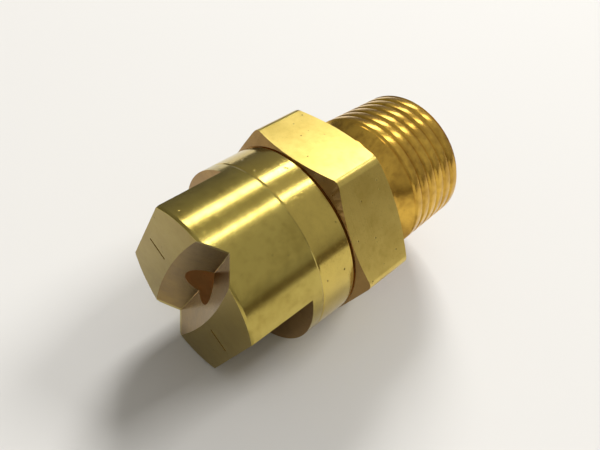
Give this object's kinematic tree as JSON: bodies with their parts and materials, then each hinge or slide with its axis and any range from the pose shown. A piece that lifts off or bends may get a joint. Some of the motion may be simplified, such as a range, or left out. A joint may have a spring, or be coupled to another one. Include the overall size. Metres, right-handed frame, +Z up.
{
  "type": "spray nozzle",
  "caption": "Two-piece brass flat-fan burner nozzle with hexagon body, tapered male pipe thread, screwed tip with V slot, guide vane and inlet strainer.",
  "frame": {"origin": "under the middle of the nozzle's length, on the surface that the bottom hexagon flat rests on", "axes": "+Z up, nozzle axis along Y with the spray face towards -Y and the pipe thread towards +Y, +X to the right seen from the spray face"},
  "size_m": [0.0238, 0.0348, 0.0206],
  "materials": {
    "body_brass": "drawn hexagon bar with turned ends, satin with fine grain and small pits",
    "tip_brass": "fine turned, semi-bright",
    "gasket_copper": "annealed copper, dull",
    "sheet_brass": "rolled sheet, satin",
    "mesh_steel": "woven stainless wire"
  },
  "bodies": {
    "body": {"nozzle_body": "body_brass"},
    "gasket": {"tip_gasket": "gasket_copper"},
    "tip": {"spray_tip": "tip_brass", "guide_vane_front_plate": "sheet_brass", "guide_vane_rear_plate": "sheet_brass"},
    "strainer": {"strainer_head": "body_brass", "strainer_cage": "sheet_brass", "strainer_mesh": "mesh_steel", "strainer_cap": "sheet_brass"}
  },
  "joints": [
    {"name": "tip_travel", "type": "slide", "parent": "body", "child": "gasket", "axis": [0, -1, 0], "range_m": [0, 0.0075]},
    {"name": "tip_screw", "type": "hinge", "parent": "gasket", "child": "tip", "pos_m": [0, -0.00415, 0.01032], "axis": [0, -1, 0], "range_deg": [0, 2700]},
    {"name": "strainer_pull", "type": "slide", "parent": "body", "child": "strainer", "axis": [0, 1, 0], "range_m": [0, 0.015]}
  ],
  "couplings": [
    {"joint": "tip_screw", "follows": "tip_travel", "rad_per_m": 6283.2}
  ]
}
